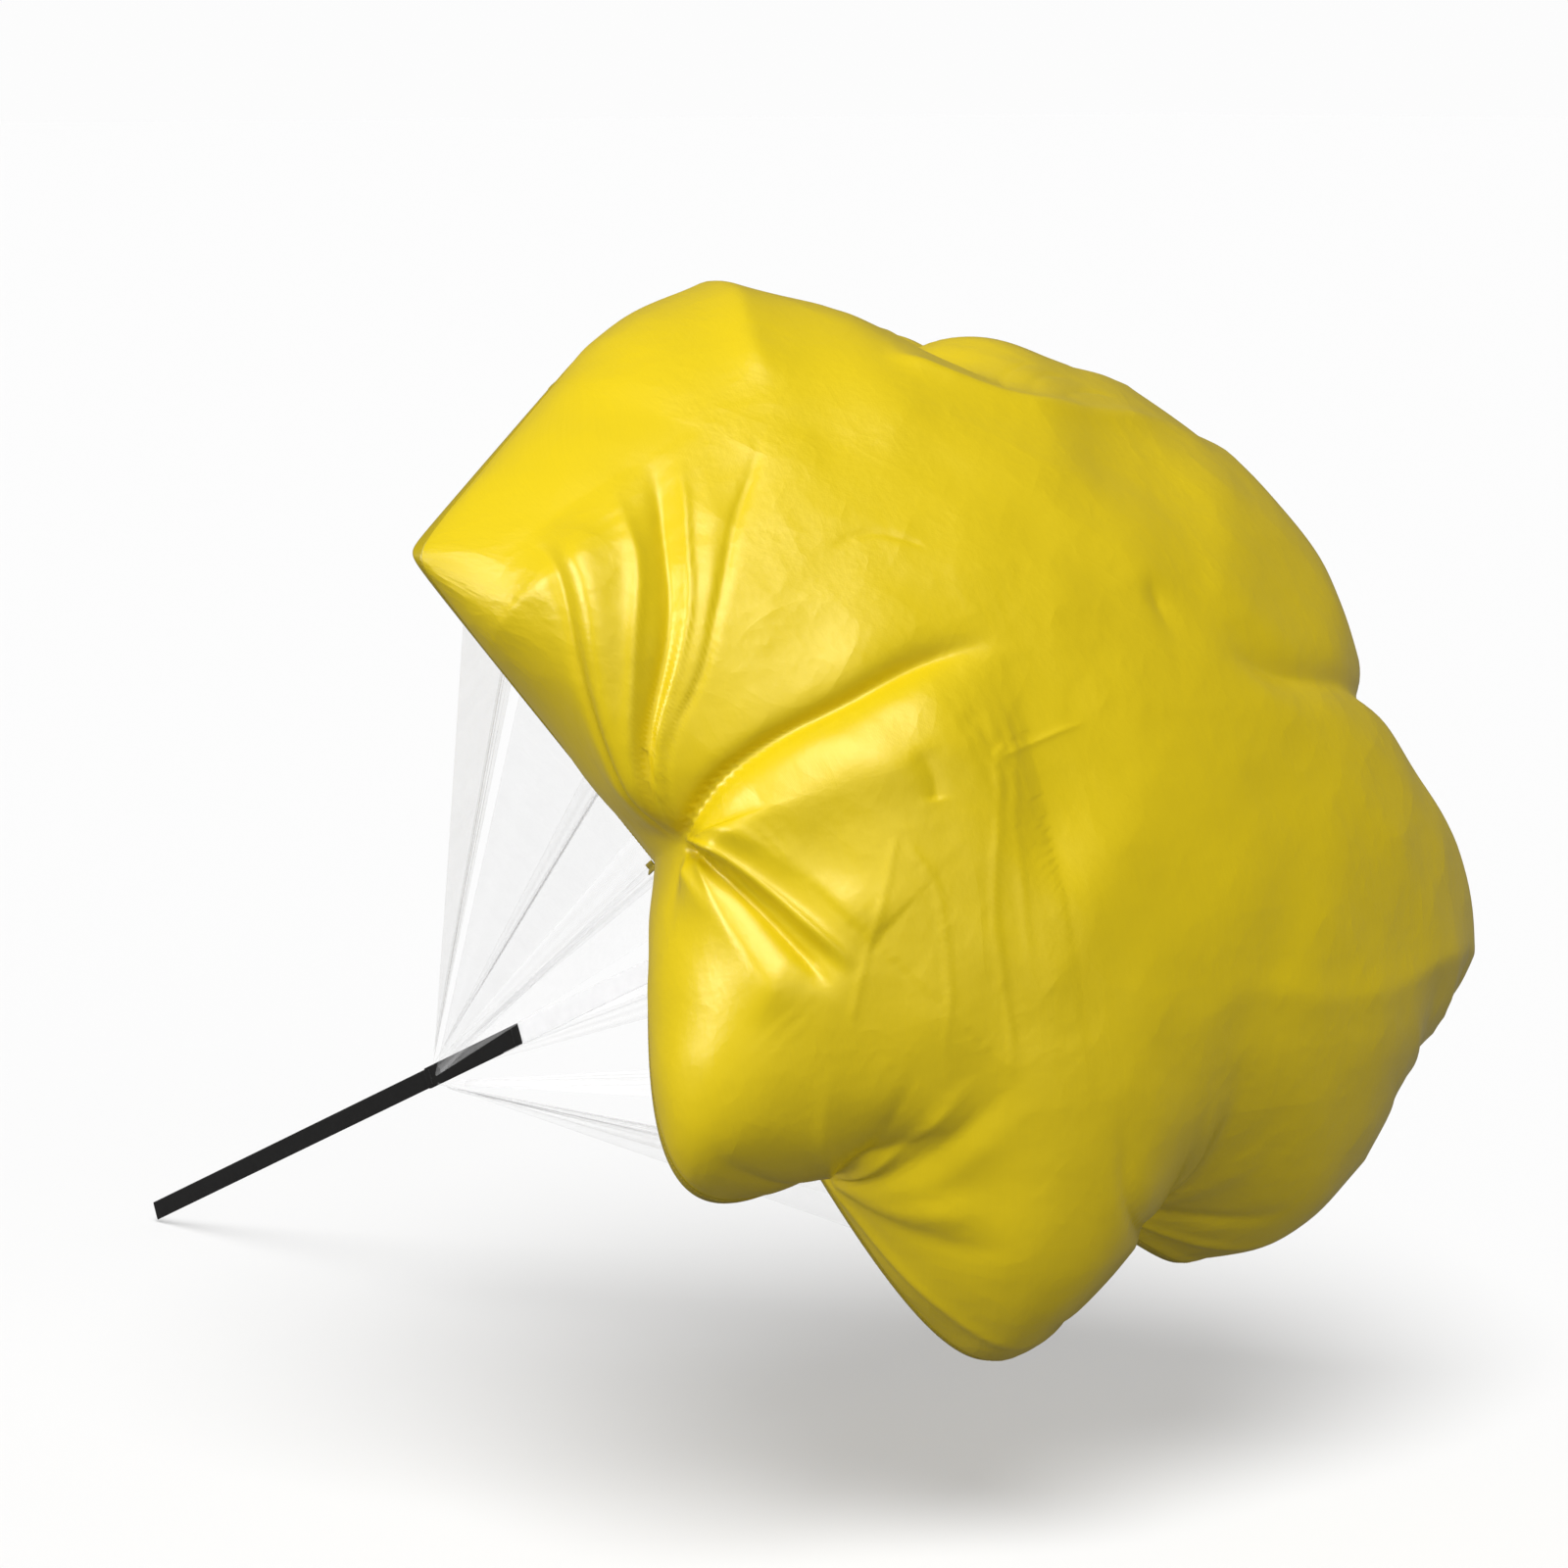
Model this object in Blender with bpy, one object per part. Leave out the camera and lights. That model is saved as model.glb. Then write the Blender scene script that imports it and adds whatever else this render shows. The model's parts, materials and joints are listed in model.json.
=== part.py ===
"""Speed parachute, shown open as it trails behind a runner.

A flat webbing strap runs up to a doubled webbing sleeve. Eight white net
panels fan out from the sleeve to eight points of the canopy's rim, which they
gather in, and a white tape runs through the middle to the canopy's crown.
Between the gathers the rim flares out in eight lobes.

Metres, +Z up. The origin is the middle of the strap's cut free end, and the
pull line rises from it in the XZ plane.
"""
import bpy
import bmesh
import numpy as np
from math import radians

for old in list(bpy.data.objects):
    bpy.data.objects.remove(old, do_unlink=True)

# Pull line
pull_pitch = radians(24.0)
clearance = 0.0003

# Tow strap and doubled sleeve
strap_length = 0.700
strap_width = 0.025
strap_thickness = 0.0018
edge_bevel = 0.0003
sleeve_length = 0.215
sleeve_width = 0.027
ply_thickness = 0.0016
tack_count = 4
tack_length = 0.020
tack_breadth = 0.0025
tack_height = 0.0007
tack_inset = 0.012

# Centre tape and crown patch
tape_width = 0.028
tape_thickness = 0.0012
tape_tuck = 0.045
patch_radius = 0.040
patch_thickness = 0.0012

# Canopy
lobe_count = 8
ring_radius = 0.490
cone_length = 1.100
crown_height = 0.400
canopy_wall = 0.0015
hem_width = 0.012
hem_thickness = 0.0032
hem_gap = 0.0009

# Net cone
net_thickness = 0.0010
net_start = 0.022
net_seat_gap = 0.0008
seam_width = 0.010
seam_thickness = 0.0010
seam_gap = 0.0009
gather_tack_length = 0.018
gather_tack_width = 0.014
gather_tack_thickness = 0.0014

# Angles are counted round the pull line, from the strap's upper edge towards
# the side that faces -Y. Lengths below are shares of ring_radius.
first_gather = 92.5
lobe_angle = 360.0 / lobe_count
# For each gather: how far it is turned from its even place in degrees, how far
# it stands from the pull line, and how far it lies towards the crown.
gather_shares = (
    (-1, 0.96, 0.09), (0, 1.00, 0.00), (0, 0.95, 0.05), (0, 1.05, 0.00),
    (0, 0.95, 0.00), (0, 1.00, 0.00), (0, 1.00, 0.00), (-8, 1.40, 0.11),
)
# For each lobe: the turn of its tip in degrees, the tip's distance from the
# pull line and along it, and how pointed the rim is there.
lobe_shares = (
    (6, 1.32, 0.09, 1.3), (3, 1.28, 0.03, 1.5), (-6, 1.16, -0.02, 2.5), (-2, 1.40, 0.15, 3.0),
    (0, 1.10, 0.00, 1.0), (2, 1.36, -0.22, 4.0), (-6, 1.34, 0.00, 1.6), (-7, 1.54, 0.10, 4.0),
)
# The shoulder that the cloth is blown out to, at each gather and lobe in turn:
# distance from the pull line and along it.
shoulder_shares = (
    (1.26, 0.40), (1.40, 0.36), (1.30, 0.42), (1.38, 0.36),
    (1.05, 0.40), (1.36, 0.36), (1.45, 0.40), (1.40, 0.38),
    (1.18, 0.38), (1.26, 0.36), (1.26, 0.38), (1.24, 0.28),
    (1.32, 0.40), (1.46, 0.40), (1.46, 0.40), (1.42, 0.42),
)
crown_share = 0.85
# A net panel is sewn to this share of the lobe on each side of its gather.
net_reach_share = 0.2
# Near the sleeve a seam tape narrows to this share of its panel.
seam_limit_share = 0.8
# A gather tack ends this share of its own length short of the hem.
tack_hold_share = 0.25

columns_per_lobe = 10
canopy_rows = 7
net_rows = 8
net_columns = 4
seam_first_row = 3
fold_steps = 8
patch_rings = 2

axis = np.array([np.cos(pull_pitch), 0.0, np.sin(pull_pitch)])
rise = np.array([-np.sin(pull_pitch), 0.0, np.cos(pull_pitch)])
side = np.array([0.0, 1.0, 0.0])
slot_gap = tape_thickness + 2 * clearance
sleeve_thickness = slot_gap + 2 * ply_thickness
fold_radius = sleeve_thickness / 2
hinge_at = strap_length + clearance + fold_radius
ring_at = hinge_at + cone_length


def world(points):
    """Points given along the pull line, towards its rise and towards +Y."""
    points = np.asarray(points, float)
    return points[..., 0:1] * axis + points[..., 1:2] * rise + points[..., 2:3] * side


def polar(degrees, radius, along):
    """Points round the pull line, counted from the ring's plane."""
    turn = np.radians(degrees)
    along = along + 0 * turn
    return np.stack([along, radius * np.cos(turn), -radius * np.sin(turn)], -1)


def smooth(table, at):
    """A closed Catmull-Rom curve through the rows of a table."""
    table = np.asarray(table, float)
    first = np.floor(at).astype(int)
    part = (at - first)[:, None]
    a, b, c, d = (table[(first + step) % len(table)] for step in (-1, 0, 1, 2))
    return b + part / 2 * (c - a + part * (2 * a - 5 * b + 4 * c - d + part * (3 * (b - c) + d - a)))


def rim(at):
    """Points of the canopy's rim: one conic arc for each lobe, in even steps between its gathers."""
    lobe = np.floor(at).astype(int)
    part = (at - lobe)[:, None]
    part = np.where(part < 0.5, 2 * part**2, 1 - 2 * (1 - part) ** 2)
    here = lobe % lobe_count
    after = (lobe + 1) % lobe_count
    gathers = np.array(gather_shares)
    tips = np.array(lobe_shares)
    start = first_gather + lobe_angle * lobe
    a = polar(start + gathers[here, 0], gathers[here, 1] * ring_radius, gathers[here, 2] * ring_radius)
    turn = start + lobe_angle + gathers[after, 0]
    b = polar(turn, gathers[after, 1] * ring_radius, gathers[after, 2] * ring_radius)
    turn = start + lobe_angle / 2 + tips[here, 0]
    tip = polar(turn, tips[here, 1] * ring_radius, tips[here, 2] * ring_radius)
    point = tips[here, 3][:, None]
    pull = ((2 + 2 * point) * tip - a - b) / (2 * point)
    weights = (1 - part) ** 2, 2 * point * part * (1 - part), part**2
    return (weights[0] * a + weights[1] * pull + weights[2] * b) / sum(weights)


def canopy_surface(at, down):
    """The canopy's outer face: a cubic arc from the crown over the shoulder to the rim.

    at counts lobes round the rim and down runs from 0 at the crown to 1 at the rim.
    """
    degrees = first_gather + lobe_angle * at
    shoulder = smooth(shoulder_shares, 2 * at) * ring_radius
    crown = np.array([crown_height, 0.0, 0.0])
    top = polar(degrees, crown_share * ring_radius, crown_height)
    bulge = polar(degrees, shoulder[:, 0], shoulder[:, 1])
    t = np.asarray(down)[None, :, None]
    arc = crown * (1 - t) ** 3 + 3 * top[:, None] * t * (1 - t) ** 2
    arc = arc + 3 * bulge[:, None] * t**2 * (1 - t) + rim(at)[:, None] * t**3
    return arc + np.array([ring_at, 0.0, 0.0])


def unit(vectors):
    size = np.linalg.norm(vectors, axis=-1, keepdims=True)
    return vectors / np.where(size > 0, size, 1)


def grid_normals(grid, wrap):
    """Unit normals of a grid of points, which halve the angle at a fold between two columns."""
    ahead = np.roll(grid, -1, 0) - grid
    behind = np.roll(ahead, 1, 0)
    if not wrap:
        ahead[-1] = behind[-1]
        behind[0] = ahead[0]
    return unit(np.cross(np.gradient(grid, axis=1), unit(ahead) + unit(behind)))


def material(name, colour, roughness, metallic=0.0):
    made = bpy.data.materials.new(name)
    made.use_nodes = True
    shader = made.node_tree.nodes["Principled BSDF"]
    shader.inputs["Base Color"].default_value = (*colour, 1.0)
    shader.inputs["Roughness"].default_value = roughness
    shader.inputs["Metallic"].default_value = metallic
    return made


def add_object(name, mesh, finish, rounded):
    mesh.materials.append(finish)
    if rounded:
        mesh.shade_smooth()
        mesh.set_sharp_from_angle(angle=radians(40.0))
    made = bpy.data.objects.new(name, mesh)
    bpy.context.scene.collection.objects.link(made)
    return made


def face_out(work):
    """Turn every face of a closed mesh outwards."""
    bmesh.ops.recalc_face_normals(work, faces=work.faces)
    if work.calc_volume(signed=True) < 0:
        bmesh.ops.reverse_faces(work, faces=work.faces)


def skin(name, top, bottom, finish, wrap=False, pole=False):
    """A closed solid between two grids of points, joined round their edges."""
    columns, rows = top.shape[:2]
    work = bmesh.new()
    layers = []
    for grid in (world(top), world(bottom)):
        layer = []
        for column in range(columns):
            if pole and column:
                line = [layer[0][0]]
            else:
                line = [work.verts.new(grid[column, 0])]
            line += [work.verts.new(grid[column, row]) for row in range(1, rows)]
            layer.append(line)
        layers.append(layer)
    last = columns if wrap else columns - 1
    for column in range(last):
        after = (column + 1) % columns
        for layer in layers:
            for row in range(rows - 1):
                ring = [layer[column][row], layer[after][row], layer[after][row + 1], layer[column][row + 1]]
                work.faces.new(list(dict.fromkeys(ring)))
        edge = [0, rows - 1] if not pole else [rows - 1]
        for row in edge:
            upper, lower = layers
            work.faces.new([upper[column][row], upper[after][row], lower[after][row], lower[column][row]])
    if not wrap:
        for column in (0, columns - 1):
            upper, lower = layers
            for row in range(rows - 1):
                work.faces.new([upper[column][row], upper[column][row + 1],
                                lower[column][row + 1], lower[column][row]])
    face_out(work)
    mesh = bpy.data.meshes.new(name)
    work.to_mesh(mesh)
    work.free()
    return add_object(name, mesh, finish, True)


def profile_solid(name, outline, width, finish):
    """A side outline along the pull line and towards +Y, as wide as given across it."""
    work = bmesh.new()
    rings = []
    for shift in (-width / 2, width / 2):
        points = world([(along, shift, out) for along, out in outline])
        rings.append([work.verts.new(point) for point in points])
    count = len(outline)
    for index in range(count):
        after = (index + 1) % count
        work.faces.new([rings[0][index], rings[0][after], rings[1][after], rings[1][index]])
    for ring in rings:
        work.faces.new(ring)
    face_out(work)
    mesh = bpy.data.meshes.new(name)
    work.to_mesh(mesh)
    work.free()
    made = add_object(name, mesh, finish, False)
    bevel = made.modifiers.new("soft_edges", "BEVEL")
    bevel.width = edge_bevel
    bevel.segments = 1
    bevel.limit_method = "ANGLE"
    bevel.angle_limit = radians(60.0)
    return made


def slab(low, high, near, far):
    """The outline of a flat strip from low to high along the pull line."""
    return [(low, near), (high, near), (high, far), (low, far)]


def tow_strap(finish):
    half = strap_thickness / 2
    return profile_solid("tow_strap", slab(0, strap_length, -half, half), strap_width, finish)


def webbing_sleeve(finish):
    """Webbing folded back on itself: the fold is at the strap, the cut ends face the canopy."""
    turns = [radians(90.0 + 180.0 * step / fold_steps) for step in range(fold_steps + 1)]
    outer = [(hinge_at + fold_radius * np.cos(turn), fold_radius * np.sin(turn)) for turn in turns]
    inner_radius = slot_gap / 2
    inner = [(hinge_at + inner_radius * np.cos(turn), inner_radius * np.sin(turn)) for turn in turns]
    end = hinge_at + sleeve_length
    outline = [(end, fold_radius)] + outer + [(end, -fold_radius), (end, -inner_radius)]
    outline += inner[::-1] + [(end, inner_radius)]
    return profile_solid("webbing_sleeve", outline, sleeve_width, finish)


def sleeve_tacks(finish):
    """Bar tacks across the sleeve, two on each face, near its two ends."""
    for index in range(tack_count):
        face = 1 if index % 2 else -1
        if index < tack_count // 2:
            start = hinge_at + sleeve_length - tack_inset - tack_breadth
        else:
            start = hinge_at + fold_radius + tack_inset / 2
        near = face * (fold_radius + clearance)
        far = face * (fold_radius + clearance + tack_height)
        outline = slab(start, start + tack_breadth, near, far)
        profile_solid(f"sleeve_tack_{index + 1}", outline, tack_length, finish)


def crown_facets():
    """The canopy's crown, and the way that each flat facet round it runs off."""
    columns = np.arange(lobe_count * 2) / 2
    facet = canopy_surface(columns, np.array([0, 1 / canopy_rows]))
    return facet[0, 0], unit(facet[:, 1] - facet[:, 0])


def crown_patch(finish):
    """A round patch inside the crown, which keeps to the canopy's facets there."""
    crown, way = crown_facets()
    reach = patch_radius * np.linspace(0, 1, patch_rings + 1)
    grid = crown + reach[None, :, None] * way[:, None]
    drop = np.array([canopy_wall + clearance, 0.0, 0.0])
    depth = np.array([patch_thickness, 0.0, 0.0])
    skin("crown_patch", grid - drop, grid - drop - depth, finish, True, True)


def centre_tape(finish):
    """A tape from inside the sleeve to the crown patch, edge-on to the strap's flat."""
    crown, way = crown_facets()
    sag = tape_width / 2 * max(-way[:, 0])
    low = hinge_at + sleeve_length - tape_tuck
    high = crown[0] - canopy_wall - patch_thickness - sag - 2 * clearance
    half = tape_thickness / 2
    return profile_solid("centre_tape", slab(low, high, -half, half), tape_width, finish)


def canopy(finish):
    columns = np.arange(lobe_count * columns_per_lobe) / columns_per_lobe
    outer = canopy_surface(columns, np.linspace(0, 1, canopy_rows + 1))
    normal = grid_normals(outer, True)
    normal[:, 0] = [1.0, 0.0, 0.0]
    skin("canopy", outer, outer - canopy_wall * normal, finish, True, True)


def rim_frame(at):
    """The rim's points, the way that the cloth runs off it, and its outward normal."""
    step = 1 / (4 * columns_per_lobe)
    fan = np.stack([canopy_surface(at + shift, np.array([1 - step, 1.0])) for shift in (-step, 0, step)])
    before, edge, after = fan[:, :, 1]
    run = unit(edge - fan[1, :, 0])
    return edge, run, unit(np.cross(run, unit(after - edge) + unit(edge - before)))


def rim_hem(finish):
    """The folded hem, which goes on from the cloth all round the rim."""
    edge, run, normal = rim_frame(np.arange(lobe_count * columns_per_lobe) / columns_per_lobe)
    middle = edge - canopy_wall / 2 * normal
    reach = np.array([hem_gap, hem_gap + hem_width])
    strip = middle[:, None] + reach[None, :, None] * run[:, None]
    thick = hem_thickness / 2 * normal[:, None]
    skin("rim_hem", strip + thick, strip - thick, finish, True)


def net_grid(number, across, down):
    """A ruled sheet from the sleeve out to the hem, round one gather.

    across runs from -1 to 1 over the panel, for each row; down runs from 0 at the sleeve to 1.
    """
    at = number + net_reach_share * across
    half_width = sleeve_width / 2 + net_seat_gap
    half_depth = fold_radius + net_seat_gap
    points = []
    for row, share in enumerate(down):
        edge, run, normal = rim_frame(at[:, row])
        base = edge + (2 * hem_gap + hem_width) * run - canopy_wall / 2 * normal
        turn = np.radians(first_gather + lobe_angle * at[:, row])
        upward, outward = np.cos(turn), np.sin(turn)
        square = np.maximum(abs(upward), abs(outward))
        seat = 0 * turn + hinge_at + net_start
        start = np.stack([seat, half_width * upward / square, -half_depth * outward / square], -1)
        points.append(start + share * (base - start))
    return np.stack(points, 1)


def net_layers(number):
    """A panel's grid of points and the way out of the cone at each, in rows that close up to the sleeve."""
    across = np.repeat(np.linspace(-1, 1, net_columns + 1)[:, None], net_rows + 1, 1)
    grid = net_grid(number, across, np.linspace(0, 1, net_rows + 1) ** 2)
    normal = grid_normals(grid, False)
    middle = normal[net_columns // 2, net_rows // 2]
    outward = grid[net_columns // 2, -1] * np.array([0.0, 1.0, 1.0])
    return grid, normal * np.sign(np.dot(middle, outward))


def net_panels(finish):
    """Net triangles, one to each gather, folded along the gather's line."""
    for number in range(lobe_count):
        grid, out = net_layers(number)
        skin(f"net_panel_{number + 1}", grid, grid + net_thickness * out, finish)


def strip_over_net(name, number, shares, width, lift, thickness, finish):
    """A strip along a panel's fold, lifted off the net by the layers under it."""
    grid, out = net_layers(number)
    place = np.sqrt(shares) * net_rows
    row = np.minimum(place.astype(int), net_rows - 1)
    part = (place - row)[:, None]
    middle = net_columns // 2
    lines = []
    for column in (middle - 1, middle, middle + 1):
        line = [layer[column][row] * (1 - part) + layer[column][row + 1] * part for layer in (grid, out)]
        lines.append(line)
    columns = []
    for line in lines:
        gap = np.linalg.norm(line[0] - lines[1][0], axis=-1, keepdims=True)
        share = np.minimum(width / 2 / np.where(gap > 0, gap, width), seam_limit_share)
        columns.append([centre + share * (end - centre) for centre, end in zip(lines[1], line)])
    points, way = (np.stack([column[layer] for column in columns]) for layer in (0, 1))
    skin(name, points + lift * way, points + (lift + thickness) * way, finish)


def seam_tapes(finish):
    lift = net_thickness + seam_gap
    shares = np.linspace(0, 1, net_rows + 1)[seam_first_row:] ** 2
    for number in range(lobe_count):
        strip_over_net(f"seam_tape_{number + 1}", number, shares, seam_width, lift, seam_thickness, finish)


def gather_tacks(finish):
    lift = net_thickness + seam_gap + seam_thickness + clearance
    reach = gather_tack_length / cone_length
    shares = 1 - reach * np.array([1 + tack_hold_share, tack_hold_share])
    for number in range(lobe_count):
        strip_over_net(f"gather_tack_{number + 1}", number, shares, gather_tack_width, lift,
                       gather_tack_thickness, finish)


black_webbing = material("black_webbing", (0.012, 0.012, 0.011), 0.75)
black_thread = material("black_thread", (0.02, 0.02, 0.02), 0.6)
yellow_cloth = material("yellow_cloth", (0.62, 0.45, 0.01), 0.42)
yellow_hem = material("yellow_hem", (0.50, 0.36, 0.01), 0.5)
white_net = material("white_net", (0.85, 0.85, 0.86), 0.7)
white_tape = material("white_tape", (0.86, 0.86, 0.87), 0.6)

tow_strap(black_webbing)
webbing_sleeve(black_webbing)
sleeve_tacks(black_thread)
centre_tape(white_tape)
crown_patch(white_tape)
canopy(yellow_cloth)
rim_hem(yellow_hem)
net_panels(white_net)
seam_tapes(white_tape)
gather_tacks(yellow_hem)
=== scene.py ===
import json
import bmesh
import bpy
import numpy as np
from mathutils import Matrix, Vector

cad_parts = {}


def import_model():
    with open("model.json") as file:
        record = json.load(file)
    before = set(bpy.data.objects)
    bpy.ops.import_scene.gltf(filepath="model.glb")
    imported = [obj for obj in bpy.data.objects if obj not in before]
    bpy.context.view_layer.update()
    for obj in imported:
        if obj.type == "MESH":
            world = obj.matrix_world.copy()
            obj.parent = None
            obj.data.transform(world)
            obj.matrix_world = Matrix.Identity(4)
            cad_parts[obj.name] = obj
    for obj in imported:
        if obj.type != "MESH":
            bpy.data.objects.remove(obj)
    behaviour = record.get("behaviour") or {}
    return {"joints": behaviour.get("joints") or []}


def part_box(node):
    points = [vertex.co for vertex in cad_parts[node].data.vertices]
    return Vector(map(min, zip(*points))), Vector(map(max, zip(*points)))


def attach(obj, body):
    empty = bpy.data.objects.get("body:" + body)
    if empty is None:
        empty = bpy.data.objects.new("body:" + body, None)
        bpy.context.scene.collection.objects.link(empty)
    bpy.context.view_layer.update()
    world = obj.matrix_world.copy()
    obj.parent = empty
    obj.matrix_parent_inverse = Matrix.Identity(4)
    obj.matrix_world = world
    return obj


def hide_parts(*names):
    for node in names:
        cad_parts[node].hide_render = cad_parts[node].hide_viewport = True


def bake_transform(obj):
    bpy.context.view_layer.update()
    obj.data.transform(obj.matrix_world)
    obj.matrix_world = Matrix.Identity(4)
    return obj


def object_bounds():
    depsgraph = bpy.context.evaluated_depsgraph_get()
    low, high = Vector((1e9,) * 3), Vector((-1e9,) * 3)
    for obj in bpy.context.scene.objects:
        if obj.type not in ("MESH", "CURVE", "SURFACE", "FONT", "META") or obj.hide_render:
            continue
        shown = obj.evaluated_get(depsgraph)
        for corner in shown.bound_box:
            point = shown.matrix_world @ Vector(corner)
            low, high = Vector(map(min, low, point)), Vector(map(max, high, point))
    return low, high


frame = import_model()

cadLow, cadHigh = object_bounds()

# The pull line runs from the strap's cut end, the origin, through the strap's hinge to the crown
hingePoint = np.array(next(j for j in frame["joints"] if j["name"] == "strap_flex")["pos_m"])
hingeAt = float(np.linalg.norm(hingePoint))
pullAxis = hingePoint / hingeAt
sideAxis = np.array([0.0, 1.0, 0.0])
riseAxis = np.cross(pullAxis, sideAxis)

# Studio

photoCamera = {
    "aim": (1.35, 0.0, 0.745),  # the point at the middle of the photograph
    "distance": 6.0,
    "elevation": 8.0,
    "azimuth": 49.6,
    "metresAPixel": 0.00115,  # at the aim
    "imagePixels": 1600,
    "sensor": 36.0,
}

studio = {
    "floorDrop": 0.004,  # below the lowest point of the part
    "floorSize": 240.0,
    "floorColour": (0.740, 0.740, 0.740),
    "floorBounce": (0.18, 0.18, 0.18),  # what the floor throws back on the object
    "floorGlow": 1.12,
    "floorGlowShare": 0.16,
    "skyStrength": 0.16,
    "skyShown": 0.975,
    # towards each lamp: share to the picture's right, up, and to the camera; strength;
    # softness in degrees; whether it casts shadows, which only the main lamp does
    "left": ((-0.78, 0.34, 0.53), 2.40, 18.0, False),
    "top": ((0.05, 0.76, 0.66), 2.85, 38.0, True),
    "front": ((0.25, 0.00, 0.95), 0.90, 60.0, False),
}


def cameraAxes():
    elevation, azimuth = np.radians([photoCamera["elevation"], photoCamera["azimuth"]])
    level = np.cos(elevation)
    back = np.array([level * np.sin(azimuth), -level * np.cos(azimuth), np.sin(elevation)])
    right = np.array([np.cos(azimuth), np.sin(azimuth), 0.0])
    return right, np.cross(back, right), back


def placeCamera():
    right, up, back = cameraAxes()
    cam = bpy.data.objects.new("camera", bpy.data.cameras.new("camera"))
    bpy.context.scene.collection.objects.link(cam)
    cam.data.sensor_width = photoCamera["sensor"]
    focalPixels = photoCamera["distance"] / photoCamera["metresAPixel"]
    cam.data.lens = photoCamera["sensor"] * focalPixels / photoCamera["imagePixels"]
    cam.data.clip_end = studio["floorSize"] * 4
    place = np.array(photoCamera["aim"]) + photoCamera["distance"] * back
    turn = Matrix([[*row] for row in np.stack([right, up, back], 1)]).to_4x4()
    cam.matrix_world = Matrix.Translation(Vector(place)) @ turn
    bpy.context.scene.camera = cam


def placeSun(name, lamp):
    toward, strength, softness, shadows = lamp
    right, up, back = cameraAxes()
    direction = toward[0] * right + toward[1] * up + toward[2] * back
    sun = bpy.data.objects.new(name, bpy.data.lights.new(name, "SUN"))
    bpy.context.scene.collection.objects.link(sun)
    sun.data.energy = strength
    sun.data.angle = np.radians(softness)
    sun.data.use_shadow = shadows
    sun.rotation_mode = "QUATERNION"
    sun.rotation_quaternion = Vector(direction).to_track_quat("Z", "Y")


# Shader sums

class Value:  # a socket that plain sums can use: each operator adds a Math node
    def __init__(self, finish, socket):
        self.finish, self.socket = finish, socket

    def sum(self, operation, first, second=0.0):
        return self.finish.node("Math", {"operation": operation}, {0: first, 1: second})

    def __add__(self, other):
        return self.sum("ADD", self, other)

    def __sub__(self, other):
        return self.sum("SUBTRACT", self, other)

    def __rsub__(self, other):
        return self.sum("SUBTRACT", other, self)

    def __mul__(self, other):
        return self.sum("MULTIPLY", self, other)

    def __pow__(self, other):
        return self.sum("POWER", self, other)

    def sine(self):
        return self.sum("SINE", self)

    def size(self):
        return self.sum("ABSOLUTE", self)

    __radd__ = __add__
    __rmul__ = __mul__


class Finish:  # one material: its Principled shader, and one method that adds any other node
    def __init__(self, name, constants):
        self.material = bpy.data.materials.new(name)
        self.material.use_nodes = True
        self.tree = self.material.node_tree
        self.shader = self.tree.nodes["Principled BSDF"]
        self.output = self.tree.nodes["Material Output"]
        self.set(constants)

    def feed(self, socket, value):
        if isinstance(value, Value):
            self.tree.links.new(value.socket, socket)
        else:
            socket.default_value = value

    def set(self, sockets):
        for name, value in sockets.items():
            self.feed(self.shader.inputs[name], value)

    def node(self, kind, settings, sockets, out=0):
        made = self.tree.nodes.new("ShaderNode" + kind)
        for key, value in settings.items():
            setattr(made, key, value)
        for key, value in sockets.items():
            self.feed(made.inputs[key], value)
        return Value(self, made.outputs[out])

    def clothPlace(self):  # metres across and along the cloth, from the piece's own UV map
        place = self.node("UVMap", {"uv_map": "cloth"}, {})
        across = self.node("SeparateXYZ", {}, {0: place}, 0)
        along = self.node("SeparateXYZ", {}, {0: place}, 1)
        return across, along, place

    def noise(self, place, scale, detail=2.0, rough=0.5):
        sockets = {"Vector": place, "Scale": scale, "Detail": detail, "Roughness": rough}
        return self.node("TexNoise", {}, sockets, 0)

    def stretched(self, place, across, along):
        return self.node("Mapping", {}, {"Vector": place, "Scale": (across, along, 1.0)})

    def blend(self, share, first, second):  # 6, 7 and 2 are the Mix node's colour sockets
        sockets = {"Factor": share, 6: (*first, 1.0), 7: (*second, 1.0)}
        return self.node("Mix", {"data_type": "RGBA"}, sockets, 2)

    def raised(self, height, distance, strength, under=None):  # a bump, on top of another one if given
        sockets = {"Height": height, "Distance": distance, "Strength": strength}
        if under:
            sockets["Normal"] = under
        return self.node("Bump", {}, sockets)


# Finishes

canopyCloth = {
    "body": (0.600, 0.444, 0.003),
    "worn": (0.540, 0.400, 0.002),
    # the hem's colours are the body's times this: painted shade along the rim's edge, which the gather tacks
    # take too
    "hemPaintedShade": 0.60,
    "gloss": 0.70,
    "glossTint": (1.0, 0.96, 0.62, 1.0),
    "roughness": 0.34,
    "roughnessSpread": 0.10,
    "threadPitch": 0.0016,
    "threadHeight": 0.00012,
    "threadStrength": 0.5,
    "slubs": (420.0, 9.0),  # thick threads, as noise: its scale across, and along
    "patches": 3.2,
    "crinkleSize": 0.040,
    "crinkleHeight": 0.0016,
    "crumpleSize": 0.13,
    "crumpleHeight": 0.0030,
    "creaseStrength": 0.6,
}


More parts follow.
